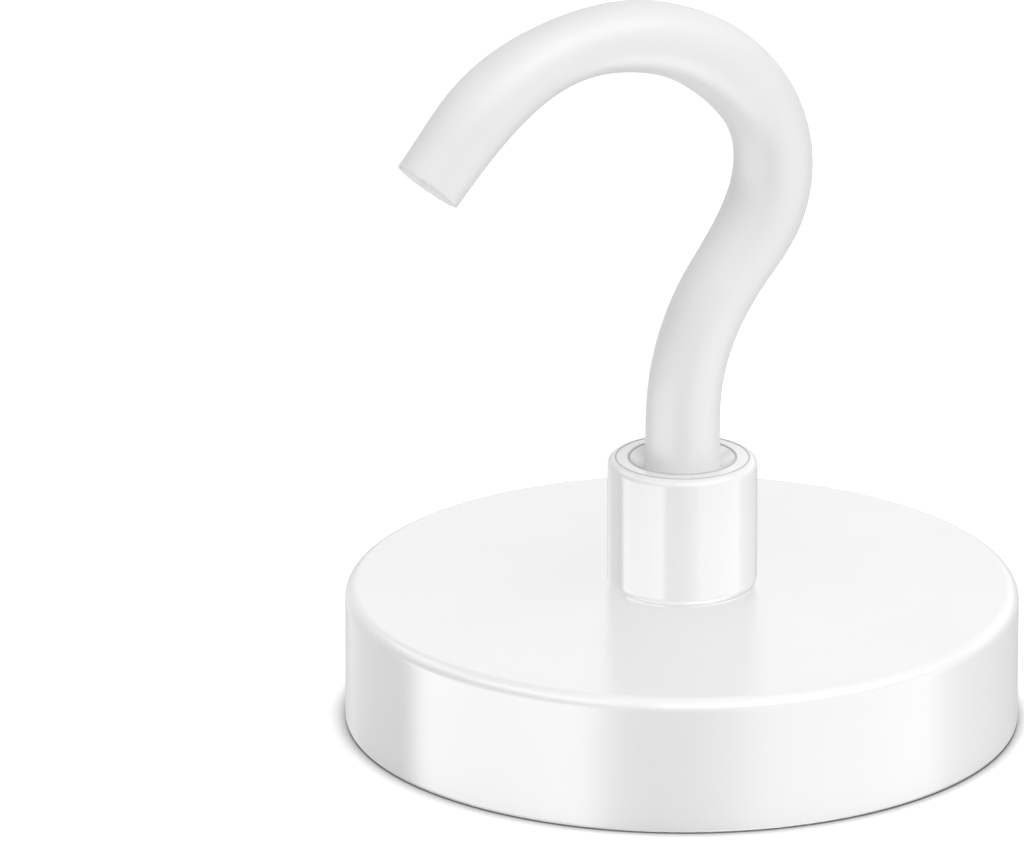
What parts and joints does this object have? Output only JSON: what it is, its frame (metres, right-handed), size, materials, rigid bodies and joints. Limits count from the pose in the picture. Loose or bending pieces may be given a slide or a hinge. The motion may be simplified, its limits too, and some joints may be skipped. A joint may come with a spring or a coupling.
{
  "type": "magnetic hook",
  "caption": "White coated steel pot magnet with a riveted threaded bush and a bent wire hook that screws into it, for hanging light things from a steel surface.",
  "frame": {"origin": "The centre of the pot's rim plane, which lies against the steel surface.", "axes": "+Z is the screw axis, from the rim to the hook's top. The hook bends in the XZ plane, with its tip towards -X."},
  "size_m": [0.036, 0.036, 0.0409],
  "materials": {
    "white_coat": "glossy white powder coat",
    "nickel_plate": "satin nickel plate",
    "black_resin": "cured cast resin",
    "zinc_plate": "bright zinc plate"
  },
  "bodies": {
    "pot": {"pot_cup": "white_coat", "threaded_bush": "white_coat", "magnet_disc": "nickel_plate", "resin_bed": "black_resin"},
    "hook_thread": {"hook_stud": "zinc_plate"},
    "hook": {"hook": "white_coat"}
  },
  "joints": [
    {"name": "hook_rise", "type": "slide", "parent": "pot", "child": "hook_thread", "axis": [0, 0, 1], "range_m": [0, 0.00578]},
    {"name": "hook_turn", "type": "hinge", "parent": "hook_thread", "child": "hook", "pos_m": [0, 0, 0.0134], "axis": [0, 0, 1], "range_deg": [0, 2970]}
  ],
  "couplings": [
    {"joint": "hook_rise", "follows": "hook_turn", "m_per_rad": 0.00011141}
  ]
}
